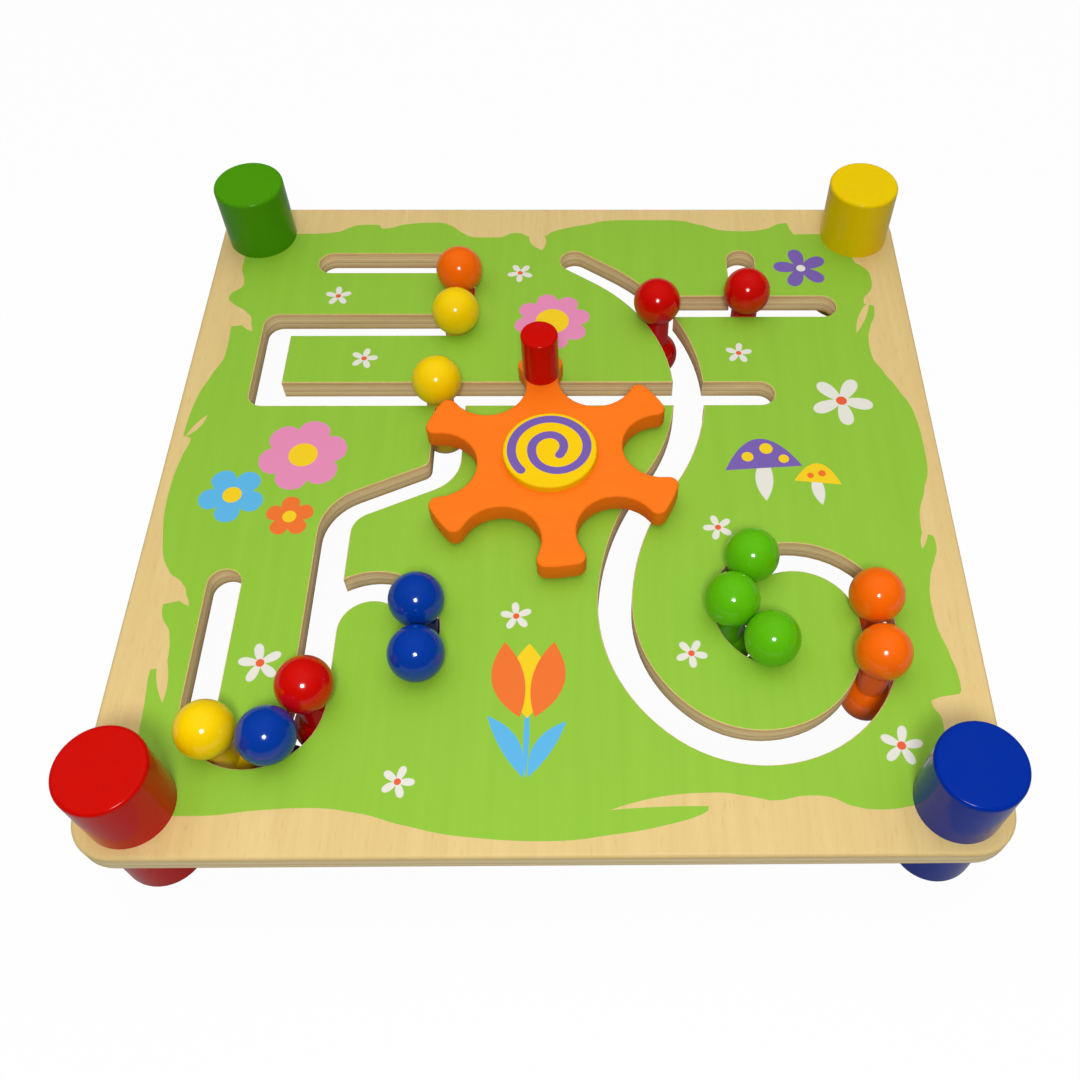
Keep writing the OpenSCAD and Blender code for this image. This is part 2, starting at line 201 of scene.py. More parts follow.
# %% Lamp
LAMP_SIZE, LAMP_WATTS = 0.2, 3.6
TIMES_AS_FAR = 2.0
lamp_place = deck + TIMES_AS_FAR * (EYE - deck)
flash = bpy.data.lights.new("flash", "AREA")
flash.shape = "DISK"
flash.size = LAMP_SIZE
flash.energy = LAMP_WATTS
aim = (deck - lamp_place).to_track_quat("-Z", "Y")
show("flash", flash).matrix_world = Matrix.Translation(lamp_place) @ aim.to_matrix().to_4x4()
print("lamp stands", round((lamp_place - deck).length * MM), "mm from the board")

# %% [markdown]
# ## Surroundings
# The beads are as bright on top as they are in front, and much darker below, so half of the light comes
# down from a pale ceiling. A second lamp could stand for it, but its mirror image would show in every bead.
# The world can be a ceiling for wood alone: strongest overhead, a little behind the toy, and fading to the
# sides. The camera sees plain white there. Mirror reflections see the room as dim, as it is for a lens
# that is set for a flash, because a bright room would lay a grey veil on the dark lacquers.

# %% Surroundings
OVERHEAD = Vector((0.0, 0.25, 1.0)).normalized()
CEILING, CEILING_FOCUS, WALLS = 1.82, 4.0, 0.075
ROOM_MIRRORED = 0.04
WHITE = (1, 1, 1, 1)


def background_ray(tree, mirrored):
    ray = put(tree, "ShaderNodeLightPath").outputs
    seen = sums(tree, "MAXIMUM", ray["Is Camera Ray"], ray["Is Transmission Ray"])
    return sums(tree, "MAXIMUM", seen, sums(tree, "MULTIPLY", ray["Is Glossy Ray"], mirrored))


world = bpy.data.worlds.new("surroundings")
bpy.context.scene.world = world
world.use_nodes = True
tree = world.node_tree
directions = {0: put(tree, "ShaderNodeTexCoord").outputs["Generated"], 1: OVERHEAD}
facing = put(tree, "ShaderNodeVectorMath", directions, operation="DOT_PRODUCT").outputs["Value"]
ceiling = sums(tree, "POWER", sums(tree, "MAXIMUM", facing, 0.0), CEILING_FOCUS)
room = sums(tree, "MULTIPLY_ADD", ceiling, CEILING, WALLS)
on_wood = put(tree, "ShaderNodeLightPath").outputs["Is Diffuse Ray"]
strength = sums(tree, "MAXIMUM", background_ray(tree, ROOM_MIRRORED), sums(tree, "MULTIPLY", room, on_wood))
pale = put(tree, "ShaderNodeBackground", {"Color": WHITE, "Strength": strength}).outputs[0]
tree.links.new(pale, tree.nodes["World Output"].inputs["Surface"])
bpy.context.scene.view_settings.view_transform = "Standard"
print("surroundings:", len(tree.nodes), "nodes")

# %% [markdown]
# ## Floor
# The toy stands on white paper. To the camera the paper is nearly its own light, so white shows through the
# slots while a trace of the toy's shadow stays. To the toy it is a darker grey, because the photograph
# shows little light coming back up. From below the paper is clear, so the underside can be looked at.

# %% Floor
FLOOR_HALF, OWN_LIGHT = 4.0, 0.96
SEEN_GREY, BOUNCED_GREY = 0.8, 0.33
PAPER_MIRRORED = 0.1
sheet = bmesh.new()
bmesh.ops.create_grid(sheet, x_segments=1, y_segments=1, size=FLOOR_HALF)
floor_data = bpy.data.meshes.new("floor")
sheet.to_mesh(floor_data)
sheet.free()
show("floor", floor_data)

paper, tree, _ = new_material("white paper")
seen = background_ray(tree, PAPER_MIRRORED)
grey = sums(tree, "MULTIPLY_ADD", seen, SEEN_GREY - BOUNCED_GREY, BOUNCED_GREY)
matt = put(tree, "ShaderNodeBsdfDiffuse", {"Color": grey}).outputs[0]
glow = put(tree, "ShaderNodeEmission", {"Color": WHITE, "Strength": 1.0}).outputs[0]
share = sums(tree, "MULTIPLY", seen, OWN_LIGHT)
from_above = put(tree, "ShaderNodeMixShader", {0: share, 1: matt, 2: glow}).outputs[0]
clear = put(tree, "ShaderNodeBsdfTransparent").outputs[0]
underneath = put(tree, "ShaderNodeNewGeometry").outputs["Backfacing"]
whole = put(tree, "ShaderNodeMixShader", {0: underneath, 1: from_above, 2: clear}).outputs[0]
tree.links.new(whole, tree.nodes["Material Output"].inputs["Surface"])
wear(floor_data, paper)
print("floor:", 2 * FLOOR_HALF, "m wide")

# %% [markdown]
# ## Shapes for printed ink
# The top of the board is printed, so its pictures have no thickness. They could be thin cut-outs laid on the
# wood, but ink that is part of the board's own material is cut by the slots for free, as on the real one.
# Each shape is a node group that answers one question: is this point inside? A leaf is the space
# between two curves that meet at both tips.

# %% Leaf shape
INK_EDGE = 0.18


def inside(tree, depth):
    return sums(tree, "MULTIPLY_ADD", depth, 1 / INK_EDGE, 0.5, clamp=True)


leaf, given, result = new_group("Leaf shape", {
    "Place": "Vector", "Centre": "Vector", "Turn": "Float", "Half length": "Float", "Half width": "Float",
    "Bend": "Float"}, {"Mask": "Float"})
apart = vectors(leaf, "SUBTRACT", given["Place"], given["Centre"])
laid = put(leaf, "ShaderNodeVectorRotate", {"Vector": apart, "Angle": given["Turn"]},
           rotation_type="Z_AXIS", invert=True).outputs[0]
along, across, _ = parts(leaf, laid)
run = sums(leaf, "DIVIDE", along, given["Half length"])
swell = sums(leaf, "SUBTRACT", 1.0, sums(leaf, "MULTIPLY", run, run))
bow = sums(leaf, "MULTIPLY", swell, given["Bend"])
offset = sums(leaf, "SUBTRACT", sums(leaf, "DIVIDE", across, given["Half width"]), bow)
depth = sums(leaf, "SUBTRACT", swell, sums(leaf, "ABSOLUTE", offset))
leaf.links.new(inside(leaf, sums(leaf, "MULTIPLY", depth, given["Half width"])), result["Mask"])
print("leaf group:", len(leaf.nodes), "nodes")

# %% [markdown]
# A flower is one petal repeated round its eye. Folding the angle into one petal's share means that the
# group only has to test a single oval, however many petals there are. The oval swells towards its outer
# end, as a daisy's petal does.

# %% Flower shape
PETAL_ROOT, PETAL_SWELL = 0.65, 0.35

flower, given, result = new_group("Flower shape", {
    "Place": "Vector", "Centre": "Vector", "Radius": "Float", "Turn": "Float", "Petals": "Float",
    "Half width": "Float", "Eye": "Float"}, {"Petal": "Float", "Eye": "Float"})
east, north, _ = parts(flower, vectors(flower, "SUBTRACT", given["Place"], given["Centre"]))
reach = length(flower, level_part(flower, east, north))
angle = sums(flower, "SUBTRACT", sums(flower, "ARCTAN2", north, east), given["Turn"])
count = sums(flower, "MULTIPLY_ADD", sums(flower, "MULTIPLY", angle, given["Petals"]), 1 / math.tau, 0.5)
folded = sums(flower, "SUBTRACT", sums(flower, "FRACT", count), 0.5)
folded = sums(flower, "DIVIDE", sums(flower, "MULTIPLY", folded, math.tau), given["Petals"])
half = sums(flower, "MULTIPLY", given["Radius"], 0.5)
out = sums(flower, "DIVIDE", sums(flower, "MULTIPLY", reach, sums(flower, "COSINE", folded)), half)
side = sums(flower, "MULTIPLY", reach, sums(flower, "SINE", folded))
width = sums(flower, "MULTIPLY", given["Half width"],
             sums(flower, "MULTIPLY_ADD", out, PETAL_SWELL, PETAL_ROOT))
lengthwise = sums(flower, "SUBTRACT", out, 1.0)
sideways = sums(flower, "DIVIDE", side, width)
oval = length(flower, level_part(flower, lengthwise, sideways))
depth = sums(flower, "MULTIPLY", sums(flower, "SUBTRACT", 1.0, oval), given["Half width"])
flower.links.new(inside(flower, depth), result["Petal"])
flower.links.new(inside(flower, sums(flower, "SUBTRACT", given["Eye"], reach)), result["Eye"])
print("flower group:", len(flower.nodes), "nodes")

# %% [markdown]
# ## Birch plywood
# Birch has fine pale streaks along the grain and tiny brown flecks. A picture of wood could be wrapped round
# the board, but noise that is drawn out along Y has no seams and fits a board of any size. It is a group, so
# the colour, the gloss and the pores below can all follow the same streaks.

# %% Birch grain
STREAK_STRETCH, FLECK_STRETCH = (0.22, 0.012, 0.22), (1.5, 0.16, 1.5)
STREAK_DETAIL, STREAK_ROUGH, STREAK_BEND = 5.0, 0.62, 0.35
FLECK_DETAIL, FLECK_FROM, FLECK_TO = 2.0, 0.6, 0.78

grain, given, result = new_group("Birch grain", {"Place": "Vector"}, {"Streak": "Float", "Fleck": "Float"})
drawn = vectors(grain, "MULTIPLY", given["Place"], STREAK_STRETCH)
streak = noise(grain, drawn, 1.0, STREAK_DETAIL, Roughness=STREAK_ROUGH, Distortion=STREAK_BEND)
grain.links.new(streak, result["Streak"])
short = noise(grain, vectors(grain, "MULTIPLY", given["Place"], FLECK_STRETCH), 1.0, FLECK_DETAIL)
fleck = put(grain, "ShaderNodeMapRange", {"Value": short, "From Min": FLECK_FROM, "From Max": FLECK_TO})
grain.links.new(fleck.outputs[0], result["Fleck"])
print("grain group:", len(grain.nodes), "nodes")

# %% [markdown]
# Plywood is an odd number of thin sheets, each with its grain across the next. A cut edge shows long grain
# and end grain in turn, with a dark line of glue between them. Thin slabs could be stacked for it, but a
# layer is only a range of heights, so counting layers from the underside draws every wall at once. A slow
# noise lets the lines wander a little, and a number drawn for each glue line makes some darker than others.

# %% Plies
PLIES, WANDER = 7.0, 0.5
WANDER_SCALE, WANDER_DETAIL = 0.06, 2.0
FIBRE_STRETCH, FIBRE_DETAIL = (0.35, 0.35, 6.0), 3.0
CROSS_SHARE, FIBRE_SHARE = 0.6, 0.6
SEAM_FROM, SEAM_TO, SEAM_SEED = 0.34, 0.46, 99.0

plies, given, result = new_group("Plies", {"Place": "Vector", "Underside": "Float", "Thickness": "Float"},
                                 {"Dark": "Float", "Glue": "Float"})
wander = noise(plies, given["Place"], WANDER_SCALE, WANDER_DETAIL)
height = sums(plies, "MULTIPLY_ADD", wander, WANDER, parts(plies, given["Place"])[2])
height = sums(plies, "DIVIDE", sums(plies, "SUBTRACT", height, given["Underside"]), given["Thickness"])
layer = sums(plies, "MULTIPLY", height, PLIES)
cross = sums(plies, "GREATER_THAN", sums(plies, "FRACT", sums(plies, "MULTIPLY", layer, 0.5)), 0.5)
fibre = noise(plies, vectors(plies, "MULTIPLY", given["Place"], FIBRE_STRETCH), 1.0, FIBRE_DETAIL)
dark = sums(plies, "MULTIPLY_ADD", cross, CROSS_SHARE, sums(plies, "MULTIPLY", fibre, FIBRE_SHARE))
plies.links.new(dark, result["Dark"])
seam = sums(plies, "ABSOLUTE", sums(plies, "SUBTRACT", sums(plies, "FRACT", layer), 0.5))
glue = put(plies, "ShaderNodeMapRange", {"Value": seam, "From Min": SEAM_FROM, "From Max": SEAM_TO})
numbered = sums(plies, "ADD", sums(plies, "ROUND", layer), SEAM_SEED)
darkness = put(plies, "ShaderNodeTexWhiteNoise", {"W": numbered}, noise_dimensions="1D").outputs["Value"]
plies.links.new(sums(plies, "MULTIPLY", glue.outputs[0], darkness), result["Glue"])
print("plies group:", len(plies.nodes), "nodes")

# %% [markdown]
# ## The printed board
# The ink goes on in the order of a printer's screens: the green field first, then the white flowers and
# the larger coloured pictures. Each list below holds places in millimetres from the middle of the board,
# so a flower can be moved without touching the nodes. The field is a meadow that stops short of the
# board's edges in long soft waves, and its list gives how far, place by place, along each side. Where the
# width of the bare wood jumps, a blade of grass stands out, and a slim gap cuts it free of the rest.

# %% Inks
GREEN_INK, GRAIN_INK = screen(152, 202, 59), screen(139, 191, 48)
WHITE_INK = screen(229, 226, 215)
CORAL_INK = screen(234, 97, 51)
PURPLE_INK = screen(121, 94, 177)
PINK_INK = screen(230, 138, 181)
YELLOW_INK = screen(245, 206, 14)
ORANGE_INK = screen(240, 115, 39)
SKY_INK = screen(90, 181, 228)
print("green ink in linear light:", [round(value, 3) for value in GREEN_INK[:3]])

# %% Field lists
WIDEST_MARGIN = 25.0
# Place along the side, width of the bare wood there
MARGINS = {
    "back": [(-150, 15.5), (-112, 17), (-100, 16), (-86, 11), (-80.6, 11.4), (-80, 13.6), (-70, 11),
             (-56, 9.6), (-50, 11), (-43, 16.5), (-35, 19.4), (-27, 19.4), (-19, 16.4), (-11, 19.5),
             (-3, 15.6), (12, 11), (30, 8), (48, 8), (64, 11.4), (82, 15.4), (94, 13.6), (103.8, 10),
             (104.6, 17.4), (150, 16)],
    "right": [(-150, 18), (-104, 18.5), (-97.6, 21), (-95.5, 12), (-92, 10), (-80, 11.6), (-60, 14.6),
              (-50, 13.4), (-40, 10), (-34, 8.6), (-30.5, 9.2), (-29.5, 13), (-10, 9), (8, 5.6), (22, 6),
              (40, 11), (52, 16.5), (64, 19.6), (76, 17.6), (88, 14.6), (89, 18.6), (96, 15.4),
              (104, 13.4), (112, 16.5), (118, 20), (150, 20)],
    "left": [(-150, 16), (-100, 15), (-84, 14), (-83, 19.2), (-70, 17.6), (-58, 13), (-57, 20.4),
             (-50, 18), (-45, 12.4), (-30, 7), (-10, 5), (8, 6.6), (16.5, 8.2), (17.5, 5), (30, 5.6),
             (50, 10.4), (64, 13.8), (76.4, 13.4), (77.4, 21.4), (84, 18.6), (90, 11.4), (94, 9.4),
             (101, 14.4), (112, 12), (150, 12)],
    "front": [(-150, 15), (-112, 14), (-90, 15.8), (-76, 16.4), (-62, 15), (-45, 10.6), (-22, 6.4),
              (0, 5.2), (20, 7), (40, 10.6), (51.6, 14.8), (53, 20.8), (58, 20.6), (72, 18), (85, 19.6),
              (98, 16), (107, 14.8), (120, 16.3), (150, 17)]}
# Middle x and y, turn, half length, half width, bend
GAPS = [(-9.4, 129, 108, 7, 3.6, 0), (130, 81.5, 67, 10.5, 1.5, 0.2), (137.6, -31.5, 71, 5, 1.1, 0.2),
        (-130.8, 77.8, -53, 5.6, 1.7, 0), (-140.8, 22.6, 59, 6.4, 1.2, -0.3), (-131.4, -55, -50, 5.8, 1.6, 0),
        (-131.5, -86, -78, 11, 2.0, 0), (52, -135.4, -1, 31.5, 2.2, 1.75)]
print("field lists:", sum(len(side) for side in MARGINS.values()), "margins and", len(GAPS), "gaps")

# %% Picture lists
# Radius, petals, half width of a petal, radius of the eye
SMALL_FLOWER = (5.6, 5, 1.25, 1.15)
# Middle x and y, turn
SMALL_FLOWERS = [(-94, 94, 20), (-79, 58, 5), (-16.5, 108, 50), (75.5, 60.7, 12), (61.5, -26.5, 38),
                 (49, -79, 60), (-12, -64, 24), (-48, -125, 70)]
# Middle, the sizes as above, turn, petal's ink, eye's ink
BIG_FLOWERS = [((116.5, -113.5), (7.2, 5, 1.5, 1.5), 8, WHITE_INK, CORAL_INK),
               ((-99, -82), (7.6, 5, 1.6, 1.5), 30, WHITE_INK, CORAL_INK),
               ((115, 34.8), (12.6, 5, 2.8, 2.2), 60, WHITE_INK, CORAL_INK),
               ((106.5, 110.8), (12.0, 5, 3.1, 2.0), 30, PURPLE_INK, WHITE_INK),
               ((-2, 79), (16.0, 8, 4.4, 7.0), 12, PINK_INK, YELLOW_INK),
               ((-97, 8), (17.0, 6, 6.0, 5.6), 15, PINK_INK, YELLOW_INK),
               ((-121, -11), (12.5, 5, 4.4, 3.6), 50, SKY_INK, YELLOW_INK),
               ((-98, -21), (9.0, 5, 3.2, 2.6), 20, ORANGE_INK, YELLOW_INK)]
# Middle x and y, turn, half length, half width, bend, then the ink
TULIP = [((-14, -113, 120, 12.5, 3.2, -0.5), SKY_INK), ((0, -114, 58, 11.5, 3.0, 0.5), SKY_INK),
         ((-7, -110, 90, 14, 1.0, 0.0), SKY_INK), ((-7, -89, 90, 14, 6.5, 0.0), YELLOW_INK),
         ((-12.5, -88.5, 102, 14.5, 5.6, 0.25), ORANGE_INK),
         ((-1.5, -88.5, 78, 14.5, 5.6, -0.25), ORANGE_INK)]
TOADSTOOLS = [((81, -4, 88, 10.5, 3.4, 0.1), WHITE_INK), ((81, 1, 4, 15, 7.2, 1.0), PURPLE_INK),
              ((101, -9, 95, 7.5, 2.4, 0.1), WHITE_INK), ((101, -6, -6, 9, 4.6, 1.0), YELLOW_INK)]
# Middle x and y, radius, ink
SPOTS = [(75, 6.5, 2.3, YELLOW_INK), (82.5, 10.5, 2.6, YELLOW_INK), (89, 5.5, 2.0, YELLOW_INK),
         (98.5, -2.6, 1.3, ORANGE_INK), (103, -1.6, 1.5, ORANGE_INK)]
print("pictures:", len(SMALL_FLOWERS) + len(BIG_FLOWERS), "flowers, a tulip and two toadstools")

# %% [markdown]
# The field is a mask that is 1 where green ink lies. For each side, a curve node turns the place along the
# board into the width of bare wood there. The points of the list could be joined by straight lines, but a
# curve keeps the waves soft, as a bent strip of wood does for a sign painter.

# %% Green field
half_side = board_high.x * MM
underside, top_side = board_low.z * MM, board_high.z * MM
printed, tree, surface = new_material("printed birch plywood")
here = place_mm(tree)
east, north, high = parts(tree, here)
flat = level_part(tree, east, north)
wood = use_group(tree, grain, {"Place": here})
ply = use_group(tree, plies, {"Place": here, "Underside": underside, "Thickness": top_side - underside})
inward = {"back": (sums(tree, "SUBTRACT", half_side, north), east),
          "front": (sums(tree, "ADD", half_side, north), east),
          "left": (sums(tree, "ADD", half_side, east), north),
          "right": (sums(tree, "SUBTRACT", half_side, east), north)}


def leaf_mask(x, y, degrees, half_length, half_width, bend):
    shape = {"Place": here, "Centre": (x, y, 0), "Turn": math.radians(degrees), "Half length": half_length,
             "Half width": half_width, "Bend": bend}
    return use_group(tree, leaf, shape)["Mask"]


field = 1.0
for name, margins in MARGINS.items():
    distance, run = inward[name]
    along = sums(tree, "MULTIPLY_ADD", run, 0.5 / half_side, 0.5)
    edge = put(tree, "ShaderNodeFloatCurve", {"Value": along})
    curve = edge.mapping.curves[0]
    places = [((at / half_side + 1) / 2, margin / WIDEST_MARGIN) for at, margin in margins]
    curve.points[0].location, curve.points[-1].location = places[0], places[-1]
    for place in places[1:-1]:
        curve.points.new(*place).handle_type = "AUTO_CLAMPED"
    edge.mapping.update()
    margin = sums(tree, "MULTIPLY", edge.outputs[0], WIDEST_MARGIN)
    field = sums(tree, "MULTIPLY", inside(tree, sums(tree, "SUBTRACT", distance, margin)), field)
for gap in GAPS:
    field = sums(tree, "MULTIPLY", field, sums(tree, "SUBTRACT", 1.0, leaf_mask(*gap)))
print("field:", len(tree.nodes), "nodes")

# %% [markdown]
# A picture is a stack of masks with one ink each. Each mask could be a flat mesh of its own, but a chain of
# mixes keeps the printer's order: what is laid later covers what lies under it.

# %% Printed pictures
marks = []


def flower_marks(x, y, sizes, degrees, petal_ink, eye_ink):
    radius, petals, half_width, eye = sizes
    shape = {"Place": here, "Centre": (x, y, 0), "Radius": radius, "Turn": math.radians(degrees),
             "Petals": petals, "Half width": half_width, "Eye": eye}
    drawn = use_group(tree, flower, shape)
    marks.append((drawn["Petal"], petal_ink))
    marks.append((drawn["Eye"], eye_ink))


def spot_mask(tree, flat, x, y, radius):
    reach = length(tree, vectors(tree, "SUBTRACT", flat, (x, y, 0)))
    return inside(tree, sums(tree, "SUBTRACT", radius, reach))


for x, y, degrees in SMALL_FLOWERS:
    flower_marks(x, y, SMALL_FLOWER, degrees, WHITE_INK, CORAL_INK)
for (x, y), sizes, degrees, petal_ink, eye_ink in BIG_FLOWERS:
    flower_marks(x, y, sizes, degrees, petal_ink, eye_ink)
for shape, leaf_ink in TULIP + TOADSTOOLS:
    marks.append((leaf_mask(*shape), leaf_ink))
for x, y, radius, spot_ink in SPOTS:
    marks.append((spot_mask(tree, flat, x, y, radius), spot_ink))
ink = mix(tree, wood["Streak"], GREEN_INK, GRAIN_INK)
for mask, mark_ink in marks:
    ink = mix(tree, mask, ink, mark_ink)
print("pictures:", len(marks), "inks laid")

# %% [markdown]
# ## The board's finish
# Ink lies only on the very top. Below it comes the face veneer, which is one clean layer of birch, and then
# the cut edges of the plies.
# Their pale and dark layers are painted paler than the face birch, as painted light that brightens the slot
# walls. All of it is sanded and left almost matt.

# %% Board finish
PALE_BIRCH, DEEP_BIRCH, FLECK = screen(235, 209, 145), screen(217, 184, 117), screen(200, 161, 97)
# The ply colours are the real pale and dark layers, lifted above the face birch as painted light on the cut
# edges; the glue colour is the real dark joint
PALE_PLY_WITH_PAINTED_LIGHT, DARK_PLY_WITH_PAINTED_LIGHT, PLY_GLUE = screen(255, 244, 190), screen(248, 218, 162), screen(176, 140, 92)
PRINT_DEPTH, VENEER = 0.06, (top_side - underside) / PLIES
FLECK_SHARE = 0.35
WOOD_MATT, STREAK_MATT, WOOD_SHINE = 0.42, 0.12, 0.2
PORE_STRENGTH, PORE_DEPTH = 0.25, 0.0001

face = mix(tree, wood["Streak"], PALE_BIRCH, DEEP_BIRCH)
face = mix(tree, sums(tree, "MULTIPLY", wood["Fleck"], FLECK_SHARE), face, FLECK)
# Cut edges: real alternating plies and glue lines, painted lighter than the wood is to stand in for light on
# the slot walls
cut_edge_with_painted_light = mix(tree, ply["Dark"], PALE_PLY_WITH_PAINTED_LIGHT, DARK_PLY_WITH_PAINTED_LIGHT)
cut_edge_with_painted_light = mix(tree, ply["Glue"], cut_edge_with_painted_light, PLY_GLUE)
upper = sums(tree, "GREATER_THAN", high, top_side - VENEER)
lower = sums(tree, "LESS_THAN", high, underside + VENEER)
bare = mix(tree, sums(tree, "MAXIMUM", upper, lower), cut_edge_with_painted_light, face)
on_top = sums(tree, "GREATER_THAN", high, top_side - PRINT_DEPTH)
tree.links.new(mix(tree, sums(tree, "MULTIPLY", field, on_top), bare, ink), surface["Base Color"])
tree.links.new(sums(tree, "MULTIPLY_ADD", wood["Streak"], STREAK_MATT, WOOD_MATT), surface["Roughness"])
tree.links.new(bump(tree, wood["Streak"], PORE_STRENGTH, PORE_DEPTH), surface["Normal"])
surface["Specular IOR Level"].default_value = WOOD_SHINE
print("board finish:", len(tree.nodes), "nodes")

# %% [markdown]
# ## Eased rims
# A router leaves sharp rims, so the maker takes them off with sandpaper, and a thin pale line of bare birch
# follows every slot. The rims could be drawn as a stripe, but a real round catches the light. The solid's
# mesh is copied, because the solid itself stays as it is. Its loose triangles are merged into whole faces,
# and each edge where a flat face meets a wall is bevelled.

# %% Copies of solids
SAME_POINT, SAME_PLANE = 1e-6, math.radians(0.2)
LEVEL, UPRIGHT = 0.999, 0.1
CREASE, FLAT_CREASE = math.radians(24), math.radians(1)


def merged_copy(node):
    shape = bmesh.new()
    shape.from_mesh(nodes[node].data)
    bmesh.ops.remove_doubles(shape, verts=shape.verts[:], dist=SAME_POINT)
    bmesh.ops.dissolve_limit(shape, angle_limit=SAME_PLANE, verts=shape.verts[:], edges=shape.edges[:])
    return shape


def level(face):
    return abs(face.normal.z) > LEVEL


def upright(face):
    return abs(face.normal.z) < UPRIGHT


def rims(shape):
    pairs = [(edge, edge.link_faces) for edge in shape.edges if len(edge.link_faces) == 2]
    return [edge for edge, (a, b) in pairs if level(a) and upright(b) or level(b) and upright(a)]


def round_edges(shape, edges, radius, segments):
    bmesh.ops.bevel(shape, geom=edges, offset=radius, segments=segments, profile=0.5, affect="EDGES",
                    material=-1)


def new_piece(shape, name, body, replaced, material):
    shape.normal_update()
    for face in shape.faces:
        face.smooth = True
    for edge in shape.edges:
        limit = FLAT_CREASE if any(level(face) for face in edge.link_faces) else CREASE
        edge.smooth = edge.calc_face_angle(0) < limit
    data = bpy.data.meshes.new(name)
    shape.to_mesh(data)
    shape.free()
    # A copied solid brings its own fixed shading, which would hide the smooth edges
    if "custom_normal" in data.attributes:
        data.attributes.remove(data.attributes["custom_normal"])
    wear(data, material)
    made = show(name, data)
    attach(made, body)
    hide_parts(replaced)
    return made


print("smooth up to", round(math.degrees(CREASE)), "degrees")

# %% Eased board
RIM, RIM_STEPS = 0.0005, 2
shape = merged_copy("board")
slot_rims = rims(shape)
round_edges(shape, slot_rims, RIM, RIM_STEPS)
eased_board = new_piece(shape, "eased_board", "board_frame", "board", printed)
print("board:", len(slot_rims), "rim edges eased,", len(eased_board.data.polygons), "faces")

# %% [markdown]
# ## Lacquered wood
# Posts, beads and the wheel are turned or sawn from wood and dipped in coloured lacquer. A plain colour
# would look like plastic. The group below lets the wood show through: the coat is thinner along the grain,
# pools in faint clouds, and its skin is very slightly uneven. Beads are glossy. Posts, feet and peg have a
# thinner, satin coat that reflects less, and the wheel and its cap are rubbed down matt, so their flat faces
# show colour, not the room.

# %% Lacquer
CLOUD_SCALE, CLOUD_DETAIL, CLOUD_MATT = 0.11, 3.0, 0.14
PEEL_SCALE, PEEL_DETAIL = 0.5, 1.0
ALONG_Z, ALONG_X = (0.7, 0.7, 0.05), (0.05, 0.7, 0.7)
GRAIN_DETAIL, GRAIN_SHARE, GRAIN_RISE = 4.0, 0.5, 0.5
SKIN_STRENGTH, SKIN_DEPTH = 0.12, 0.0002
# Roughness, reflection at the surface
GLOSS, SATIN, RUBBED = (0.06, 0.5), (0.08, 0.14), (0.34, 0.07)

lacquer, given, result = new_group(
    "Lacquer", {"Place": "Vector", "Colour": "Color", "Shade": "Color", "Grain": "Vector", "Matt": "Float"},
    {"Colour": "Color", "Roughness": "Float", "Skin": "Float"})
cloud = noise(lacquer, given["Place"], CLOUD_SCALE, CLOUD_DETAIL)
fibre = noise(lacquer, vectors(lacquer, "MULTIPLY", given["Place"], given["Grain"]), 1.0, GRAIN_DETAIL)
peel = noise(lacquer, given["Place"], PEEL_SCALE, PEEL_DETAIL)
pooled = sums(lacquer, "MULTIPLY", cloud, 1 - GRAIN_SHARE)
thin = sums(lacquer, "MULTIPLY_ADD", fibre, GRAIN_SHARE, pooled)
lacquer.links.new(mix(lacquer, thin, given["Colour"], given["Shade"]), result["Colour"])
lacquer.links.new(sums(lacquer, "MULTIPLY_ADD", cloud, CLOUD_MATT, given["Matt"]), result["Roughness"])
lacquer.links.new(sums(lacquer, "MULTIPLY_ADD", fibre, GRAIN_RISE, peel), result["Skin"])


def lacquered(name, shades, finish, lie=ALONG_Z):
    made, tree, surface = new_material(name)
    matt, shine = finish
    coat = use_group(tree, lacquer, {"Place": place_mm(tree), "Colour": shades[0], "Shade": shades[1],
                                     "Grain": lie, "Matt": matt})
    tree.links.new(coat["Colour"], surface["Base Color"])
    tree.links.new(coat["Roughness"], surface["Roughness"])
    tree.links.new(bump(tree, coat["Skin"], SKIN_STRENGTH, SKIN_DEPTH), surface["Normal"])
    surface["Specular IOR Level"].default_value = shine
    return made, tree, surface, coat


print("lacquer group:", len(lacquer.nodes), "nodes")

# %% [markdown]
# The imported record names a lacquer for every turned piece, so one loop can dip them all. Each piece could
# get a material of its own, but one coat for each colour keeps them alike. No two beads come out the same,
# because the noise in the coat differs from place to place.

# %% Beads, posts, feet and peg
BEAD_SHADES = {
    "green": (screen(100, 198, 12), screen(88, 179, 5)), "yellow": (screen(255, 222, 2), screen(255, 206, 0)),
    "red": (screen(220, 9, 1), screen(201, 5, 0)), "blue": (screen(2, 61, 168), screen(1, 54, 153)),
    "orange": (screen(255, 114, 5), screen(255, 103, 2))}
POST_SHADES = {
    "green": (screen(81, 159, 11), screen(71, 149, 5)), "yellow": (screen(248, 212, 2), screen(236, 198, 0)),
    "red": (screen(208, 10, 1), screen(197, 6, 0)), "blue": (screen(0, 46, 160), screen(0, 41, 148))}
glossy = {name: lacquered(name + " gloss lacquer", pair, GLOSS)[0] for name, pair in BEAD_SHADES.items()}
satin = {name: lacquered(name + " satin lacquer", pair, SATIN)[0] for name, pair in POST_SHADES.items()}
for row in subparts:
    colour, _, kind = row["material_slot"].partition("_")
    if kind == "lacquer":
        coats = glossy if "bead" in row["node"] else satin
        if colour in coats:
            wear(nodes[row["node"]].data, coats[colour])
print("lacquers:", len(glossy), "glossy and", len(satin), "satin")

# %% [markdown]
# ## The star wheel
# The wheel's solid has the right form in small flat facets, as a saw and a file would leave it. On the real
# one sandpaper has blended them, so a merged copy takes its place with its walls shaded smooth.

